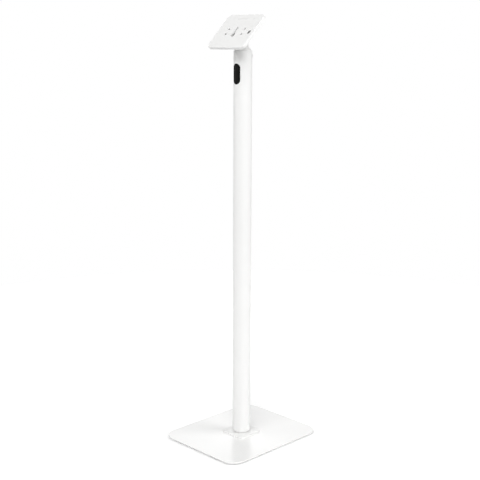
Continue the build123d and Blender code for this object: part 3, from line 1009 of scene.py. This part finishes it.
class FLOORSTAND_OT_neck_bushing(bpy.types.Operator):
    """Black bushing with a rounded collar in the mouth of the neck"""

    bl_idname = "floorstand.neck_bushing"
    bl_label = "Neck Bushing"

    def execute(self, context):
        bottom, top = BUSHING_LOW.z, BUSHING_HIGH.z
        outside, collar = CABLE_BORE - 0.1 * MM, BUSHING_HIGH.x
        bushing = turned("neck_bushing_moulded", [
            (BUSHING_BORE, bottom, 0.3 * MM), (outside, bottom, 0.4 * MM), (outside, NECK_HIGH.z),
            (collar, NECK_HIGH.z, 0.2 * MM), (collar, top, 0.8 * MM), (BUSHING_BORE, top, 0.9 * MM)],
            closed=True, steps=HOOP_STEPS)
        finish(bushing, "stand", "black_plastic", "neck_bushing")
        return {"FINISHED"}


def set_on_hinge(piece, side):
    """Turns a piece drawn along Z to point out along the hinge, to that side."""
    return place(piece, turn=(0, side * RIGHT_ANGLE, 0), shift=HINGE)


def washer(name, radius, bottom, top, rounding):
    """A washer for the shoulder of a pivot screw, drawn along Z."""
    return turned(name, [
        (EAR_BORE, bottom, 0.1 * MM), (radius, bottom, rounding), (radius, top, rounding),
        (EAR_BORE, top, 0.1 * MM)], closed=True, steps=SMALL_STEPS)


class FLOORSTAND_OT_hinge_washers(bpy.types.Operator):
    """Nylon friction washers and split spring washers, a pair on each side of the neck"""

    bl_idname = "floorstand.hinge_washers"
    bl_label = "Hinge Washers"

    def execute(self, context):
        for side, word in zip(SIDES, ("right", "left")):
            friction = washer(f"friction_washer_{word}", FRICTION_HIGH.y, NECK_FLAT, FRICTION_HIGH.x,
                              0.15 * MM)
            finish(set_on_hinge(friction, side), "stand", "natural_nylon", "friction_washers")
            spring = washer(f"spring_washer_{word}", SPRING_HIGH.y, SPRING_FROM, SPRING_HIGH.x,
                            0.12 * MM)
            split = block("split_tool", (0, -SPRING_SPLIT / 2, SPRING_FROM - SPARE),
                          (2 * SPRING_HIGH.y, SPRING_SPLIT / 2, SPRING_HIGH.x + SPARE))
            combine(spring, place(split, turn=(0, 0, SPLIT_ANGLE)))
            finish(set_on_hinge(spring, side), "stand", "zinc_steel", "spring_washers")
        return {"FINISHED"}


class FLOORSTAND_OT_pivot_screws(bpy.types.Operator):
    """Two shoulder screws with knurled socket heads that the head tilts on"""

    bl_idname = "floorstand.pivot_screws"
    bl_label = "Pivot Screws"

    def execute(self, context):
        knurls = context.scene.floor_stand_shape.knurls
        head_from, head_end, head = SPRING_HIGH.x, PIVOTS_HIGH.x, PIVOTS_HIGH.y
        screw = turned("pivot_screw_right", [
            (0, PIVOT_THREAD_END), (PIVOT_THREAD, PIVOT_THREAD_END, 0.4 * MM), (PIVOT_THREAD, NECK_FLAT),
            (PIVOT_SHOULDER, NECK_FLAT), (PIVOT_SHOULDER, head_from), (head, head_from, 0.3 * MM),
            (head, head_end, PIVOT_EDGE), (0, head_end)], steps=2 * knurls)
        flute = FULL_TURN / knurls
        low, high = head_from + 0.2 * MM, head_end - PIVOT_EDGE + NEAR

        def on_flute(co):
            """Every second vertex round the head, which is pressed in to make a flute."""
            turn = math.atan2(co.y, co.x) / flute
            on_side = co.xy.length > head - NEAR and low < co.z < high
            return on_side and abs(turn - round(turn)) > 0.25

        pick(screw, "VERT", on_flute)
        bpy.ops.transform.resize(value=(FLUTE_FLOOR, FLUTE_FLOOR, 1), center_override=(0, 0, 0))
        cut_socket(screw, PIVOT_SOCKET, head_end - PIVOT_SOCKET / 2, head_end + SPARE)
        for piece, side in zip((screw, copy_of(screw, "pivot_screw_left")), SIDES):
            finish(set_on_hinge(piece, side), "stand", "zinc_steel", "pivot_screws")
        return {"FINISHED"}


def set_on_head(piece):
    """Tilts a piece drawn in the plate's own plane and sets it in its place on the head."""
    return place(piece, turn=(TILT, 0, 0), shift=PLATE_MIDDLE)


class FLOORSTAND_OT_tilt_bracket(bpy.types.Operator):
    """Bent steel channel under the plate, with two round ears and a window for the cable"""

    bl_idname = "floorstand.tilt_bracket"
    bl_label = "Tilt Bracket"

    def execute(self, context):
        bend = context.scene.floor_stand_shape.bracket_bend
        top, reach = -PLATE_SHEET, BRACKET_WIDTH / 2
        back, front = BRACKET_MIDDLE - BRACKET_LENGTH / 2, BRACKET_MIDDLE + BRACKET_LENGTH / 2
        bracket = block("tilt_bracket_coated", (-reach, back, HINGE_OUT - EAR_RADIUS - SPARE),
                        (reach, front, top))
        bevel_edges(bracket, lambda a, b: min(a.z, b.z) > top - NEAR and abs(a.y - b.y) > NEAR,
                    bend, segments=BEND_STEPS)
        delete_faces(bracket, lambda centre, normal: normal.z < -FACING or abs(normal.y) > FACING)
        modify(bracket, "SOLIDIFY", thickness=BRACKET_SHEET, offset=-1, use_even_offset=True)
        ears = self.ears(reach, top)
        web = rounded_slab("web_tool", (-reach - MM, back, top - BRACKET_SHEET - 0.6 * MM),
                           (reach + MM, front, top + MM), SHEET_CORNER, 0.1 * MM)
        combine(ears, web, "UNION")
        combine(bracket, ears, "INTERSECT")

        window = slot_rod("window_tool", BRACKET_WINDOW_WIDTH, BRACKET_WINDOW_LENGTH,
                          top - 2 * BRACKET_SHEET, top + SPARE)
        combine(bracket, place(window, shift=(0, BRACKET_WINDOW_UP, 0)))
        drill(bracket, EAR_BORE, -2 * reach, 2 * reach, ALONG_X, HINGE_SPOT)
        ease_edges(bracket, 0.3 * MM)
        finish(set_on_head(bracket), "head", "white_coat", "tilt_bracket")
        return {"FINISHED"}

    def ears(self, reach, top):
        """The side view of the ears, as the hull of the eye round the hinge and the root on the web."""
        ears = rod("ear_tool", EAR_RADIUS, -2 * reach, 2 * reach, steps=HOOP_STEPS)
        place(ears, ALONG_X, HINGE_SPOT)
        half = EAR_ROOT_LENGTH / 2
        block("root_tool", (-2 * reach, BRACKET_MIDDLE - half, top + EAR_ROOT_OUT[0]),
              (2 * reach, BRACKET_MIDDLE + half, top + EAR_ROOT_OUT[1]))
        ears.select_set(True)
        bpy.context.view_layer.objects.active = ears
        bpy.ops.object.join()
        bpy.ops.object.mode_set(mode="EDIT")
        bpy.ops.mesh.select_all(action="SELECT")
        bpy.ops.mesh.convex_hull()
        object_mode()
        return ears


class FLOORSTAND_OT_bracket_welds(bpy.types.Operator):
    """Short rippled weld beads between the bends of the bracket and the underside of the plate"""

    bl_idname = "floorstand.bracket_welds"
    bl_label = "Bracket Welds"

    def execute(self, context):
        outline = []
        steps = 4 * WELD_RIPPLES
        for step in range(steps + 1):
            along = step / steps
            swell = math.sqrt(max(0.0, 1 - (2 * along - 1) ** WELD_SQUARENESS))
            ripple = 1 - RIPPLE_DEPTH * math.cos(along * WELD_RIPPLES * FULL_TURN)
            outline.append((WELD_RADIUS * swell * ripple, (along - 0.5) * WELD_LENGTH))
        bead = place(turned("bracket_weld_1", outline, steps=BEAD_STEPS), TO_FRONT)
        spots = [(side * (BRACKET_WIDTH / 2 - WELD_INSET), up, WELD_OUT)
                 for side in SIDES for up in WELD_PLACES]
        for piece, spot in zip(with_copies(bead, len(spots)), spots):
            place(piece, shift=spot)
            finish(set_on_head(piece), "head", "white_coat")
        return {"FINISHED"}


class FLOORSTAND_OT_mount_plate(bpy.types.Operator):
    """Folded steel tray with a keyhole, four fixing holes, a lock slot and two label recesses"""

    bl_idname = "floorstand.mount_plate"
    bl_label = "Mount Plate"

    def execute(self, context):
        shape = context.scene.floor_stand_shape
        across, up = PLATE_WIDTH / 2, shape.plate_length / 2
        tray = rounded_slab("mount_plate_coated", (-across, -up, -shape.plate_rim), (across, up, 0),
                            shape.plate_corner, shape.plate_edge)
        delete_faces(tray, lambda centre, normal: normal.z < -FACING)
        modify(tray, "SOLIDIFY", thickness=PLATE_SHEET, offset=-1, use_even_offset=True,
               use_quality_normals=True)
        for tool, spot in self.tools():
            combine(tray, place(tool, shift=spot))
        ease_edges(tray, 0.25 * MM)
        for length, spot in RECESS_LENGTHS_AND_PLACES:
            recess = slot_rod("recess_tool", RECESS_WIDTH, length, -RECESS_DEPTH, SPARE)
            combine(tray, place(recess, turn=(0, 0, RIGHT_ANGLE), shift=(spot, RECESS_UP, 0)))
        ease_edges(tray, 0.12 * MM)
        finish(set_on_head(tray), "head", "white_coat", "mount_plate")

        # The floor of the recesses gets a darker copy of the coat: painted shade, added because the shallow
        # recesses cast too little shade of their own
        look = context.scene.floor_stand_look
        tray.data.materials.append(satin_coat("powder_coat_thin", darker(look.coat, 0.93), look))
        for face in tray.data.polygons:
            depth = (face.center - PLATE_MIDDLE).dot(PLATE_OUT)
            if abs(depth + RECESS_DEPTH) < NEAR and face.normal.dot(PLATE_OUT) > FACING:
                face.material_index = 1
        return {"FINISHED"}

    def tools(self):
        """The tools that cut the plate, each with its place on the face."""
        below, above = -PLATE_SHEET - MM, SPARE
        yield rod("keyhole_tool", KEYHOLE_RADIUS, below, above), KEYHOLE_SPOT
        yield slot_rod("keyslot_tool", KEYSLOT_WIDTH, KEYSLOT_LENGTH, below, above), KEYSLOT_SPOT
        for spot in FIXING_SPOTS:
            yield rod("fixing_tool", HOLE_RADIUS, below, above), spot
        yield slot_rod("lock_tool", LOCK_WIDTH, LOCK_LENGTH, below, above), LOCK_SPOT


class FLOORSTAND_OT_plate_back(bpy.types.Operator):
    """Sheet cover in the back of the tray, with a window for the bracket and four access holes"""

    bl_idname = "floorstand.plate_back"
    bl_label = "Plate Back"

    def execute(self, context):
        shape = context.scene.floor_stand_shape
        inset = PLATE_SHEET + COVER_ROOM
        across, up = PLATE_WIDTH / 2 - inset, shape.plate_length / 2 - inset
        bottom = -shape.plate_rim
        top = bottom + COVER_SHEET
        below, above = bottom - SPARE, top + MM
        back = rounded_slab("plate_back_coated", (-across, -up, bottom), (across, up, top),
                            shape.plate_corner - PLATE_SHEET, 0.25 * MM, 0.25 * MM)
        combine(back, rounded_slab("window_tool", (*COVER_WINDOW_LOW, below),
                                   (*COVER_WINDOW_HIGH, above), SHEET_CORNER, 0.1 * MM))
        for spot in FIXING_SPOTS:
            drill(back, ACCESS_RADIUS, below, above, shift=spot)
        ease_edges(back, 0.2 * MM)
        finish(set_on_head(back), "head", "white_coat", "plate_back")
        return {"FINISHED"}


class FLOORSTAND_OT_hidden_parts(bpy.types.Operator):
    """Finishes of the turned plug, the washer and the ring nut inside the top of the pole"""

    bl_idname = "floorstand.hidden_parts"
    bl_label = "Hidden Parts"

    def execute(self, context):
        slots = {"top_plug": "bare_aluminium", "neck_washer": "zinc_steel", "ring_nut": "zinc_steel"}
        for node, slot in slots.items():
            for material_slot in frame["nodes"][node].material_slots:
                material_slot.material = finish_of(slot)
        return {"FINISHED"}


# Studio

class FLOORSTAND_OT_studio(bpy.types.Operator):
    """Pale floor, even light, five softboxes and the camera"""

    bl_idname = "floorstand.studio"
    bl_label = "Studio"

    def execute(self, context):
        studio = context.scene.floor_stand_studio
        context.scene.view_settings.view_transform = "Standard"
        self.floor(studio, context.scene.floor_stand_shape.base_corner)
        self.world(context.scene, studio)
        for name, (around, rise) in SOFTBOXES.items():
            heading = studio.camera_angle + math.radians(around)
            self.softbox(name, heading, math.radians(rise), getattr(studio, name))
        self.camera(context.scene, studio)
        return {"FINISHED"}

    def seen(self, tree):
        """1 for what the camera or a reflection sees, and 0 for the light that falls on the stand."""
        rays = add_node(tree, "ShaderNodeLightPath").outputs
        return add_node(tree, "ShaderNodeMath", {0: rays["Is Camera Ray"], 1: rays["Is Glossy Ray"]},
                        operation="MAXIMUM").outputs[0]

    def floor(self, studio, corner):
        """A plain floor that shows white where nothing shades it.

        The light that only the camera and reflections see is weakest round the stand, so that the
        stand's shadow stays, and makes up for the lamps' falling light further out. Under the base
        plate it is weaker still, so that the gap below the plate's edge stays dark."""
        deselect()
        bpy.ops.mesh.primitive_circle_add(vertices=HOOP_STEPS, radius=FLOOR_RADIUS, fill_type="NGON")
        floor = named("studio_floor")
        material = blank_material("floor_matt_white")
        tree = material.node_tree
        place_on = add_node(tree, "ShaderNodeTexCoord").outputs["Object"]
        away = add_node(tree, "ShaderNodeVectorMath", {0: place_on}, operation="LENGTH").outputs["Value"]
        outwards = add_node(tree, "ShaderNodeMapRange", {
            "Value": away, "From Min": LIFT_FROM, "From Max": LIFT_TO,
            "To Min": LIFT_NEAR, "To Max": LIFT_FAR})

        # How far a place lies outside the rectangle through the centres of the base plate's corners
        centre = (BASE_HIGH.x - corner, BASE_HIGH.y - corner, 0)
        past = place_on
        for operation, inputs in (("ABSOLUTE", {}), ("SUBTRACT", {1: centre}), ("MAXIMUM", {1: (0, 0, 0)})):
            past = add_node(tree, "ShaderNodeVectorMath", {0: past, **inputs},
                            operation=operation).outputs["Vector"]
        past = add_node(tree, "ShaderNodeVectorMath", {0: past}, operation="LENGTH").outputs["Value"]
        clear = add_node(tree, "ShaderNodeMapRange", {
            "Value": past, "From Min": corner, "From Max": corner + EDGE_SHADE, "To Min": LIFT_BELOW_BASE})

        lift = self.seen(tree)
        for share in (outwards, clear):
            lift = add_node(tree, "ShaderNodeMath", {0: lift, 1: share.outputs["Result"]},
                            operation="MULTIPLY").outputs[0]
        matt = add_node(tree, "ShaderNodeBsdfDiffuse", {"Color": (*studio.floor_tone, 1)})
        glow = add_node(tree, "ShaderNodeEmission", {"Color": WHITE, "Strength": lift})
        both = add_node(tree, "ShaderNodeAddShader", {0: matt.outputs[0], 1: glow.outputs[0]})
        add_node(tree, "ShaderNodeOutputMaterial", {"Surface": both.outputs[0]})
        floor.data.materials.append(material)
        floor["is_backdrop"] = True

    def world(self, scene, studio):
        """Even light from all round, seen as white."""
        scene.world = scene.world or bpy.data.worlds.new("studio_world")
        scene.world.use_nodes = True
        tree = scene.world.node_tree
        tree.nodes.clear()
        ambient = add_node(tree, "ShaderNodeBackground", {"Color": WHITE, "Strength": studio.ambient})
        white = add_node(tree, "ShaderNodeBackground", {"Color": WHITE, "Strength": 1.0})
        mixed = add_node(tree, "ShaderNodeMixShader", {
            0: self.seen(tree), 1: ambient.outputs[0], 2: white.outputs[0]})
        add_node(tree, "ShaderNodeOutputWorld", {"Surface": mixed.outputs[0]})

    def softbox(self, name, heading, rise, power):
        """A square softbox that faces the middle of the pole.

        Its heading is an angle from the front to the right, and its rise an angle up."""
        flat = math.cos(rise)
        away = Vector((math.sin(heading) * flat, -math.cos(heading) * flat, math.sin(rise)))
        bpy.ops.object.light_add(type="AREA", location=LAMP_AIM + away * LAMP_DISTANCE)
        lamp = bpy.context.object
        lamp.name = name
        lamp.rotation_euler = away.to_track_quat("Z", "Y").to_euler()
        lamp.data.shape = "SQUARE"
        lamp.data.size = LAMP_SIZE
        lamp.data.energy = power

    def camera(self, scene, studio):
        """The camera, about as high as the mount plate and half way from the front to the right."""
        around = studio.camera_angle
        spot = Vector((math.sin(around), -math.cos(around), 0)) * studio.camera_distance
        spot.z = studio.camera_height
        bpy.ops.object.camera_add(location=spot)
        camera = bpy.context.object
        camera.name = "studio_camera"
        heading = Matrix.Rotation(around + studio.camera_yaw, 3, "Z")
        pitch = Matrix.Rotation(RIGHT_ANGLE - studio.camera_pitch, 3, "X")
        roll = Matrix.Rotation(studio.camera_roll, 3, "Z")
        camera.rotation_euler = (heading @ pitch @ roll).to_euler()
        camera.data.lens = studio.lens
        camera.data.shift_y = studio.shift
        scene.camera = camera


BUILD_STEPS = (
    FLOORSTAND_OT_base_plate,
    FLOORSTAND_OT_base_feet,
    FLOORSTAND_OT_base_screws,
    FLOORSTAND_OT_foot_flange,
    FLOORSTAND_OT_foot_plug,
    FLOORSTAND_OT_pole_tube,
    FLOORSTAND_OT_port_grommet,
    FLOORSTAND_OT_port_cover,
    FLOORSTAND_OT_plug_screws,
    FLOORSTAND_OT_pole_cap,
    FLOORSTAND_OT_neck_post,
    FLOORSTAND_OT_neck_bushing,
    FLOORSTAND_OT_hinge_washers,
    FLOORSTAND_OT_pivot_screws,
    FLOORSTAND_OT_tilt_bracket,
    FLOORSTAND_OT_bracket_welds,
    FLOORSTAND_OT_mount_plate,
    FLOORSTAND_OT_plate_back,
    FLOORSTAND_OT_hidden_parts,
    FLOORSTAND_OT_studio,
)
SETTINGS = {
    "floor_stand_shape": FloorStandShape,
    "floor_stand_look": FloorStandLook,
    "floor_stand_studio": FloorStandStudio,
}


class FLOORSTAND_PT_panel(bpy.types.Panel):
    """The steps that build the stand, and its settings"""

    bl_idname = "FLOORSTAND_PT_panel"
    bl_label = "Floor Stand"
    bl_space_type = "VIEW_3D"
    bl_region_type = "UI"
    bl_category = "Floor Stand"

    def draw(self, context):
        layout = self.layout
        for name, group in SETTINGS.items():
            box = layout.box()
            for setting in group.__annotations__:
                box.prop(getattr(context.scene, name), setting)
        column = layout.column(align=True)
        for step in BUILD_STEPS:
            column.operator(step.bl_idname)


def register():
    for cls in (*SETTINGS.values(), *BUILD_STEPS, FLOORSTAND_PT_panel):
        bpy.utils.register_class(cls)
    for name, group in SETTINGS.items():
        setattr(bpy.types.Scene, name, PointerProperty(type=group))


def unregister():
    for name in SETTINGS:
        delattr(bpy.types.Scene, name)
    for cls in reversed((*SETTINGS.values(), *BUILD_STEPS, FLOORSTAND_PT_panel)):
        bpy.utils.unregister_class(cls)


def main():
    """Builds the stand and the studio."""
    register()
    for step in BUILD_STEPS:
        group, name = step.bl_idname.split(".")
        getattr(getattr(bpy.ops, group), name)()
    boxes = {"cad": frame_box, "visual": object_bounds()}
    {name: [list(corner) for corner in box] for name, box in boxes.items()}


if __name__ == "__main__":
    main()
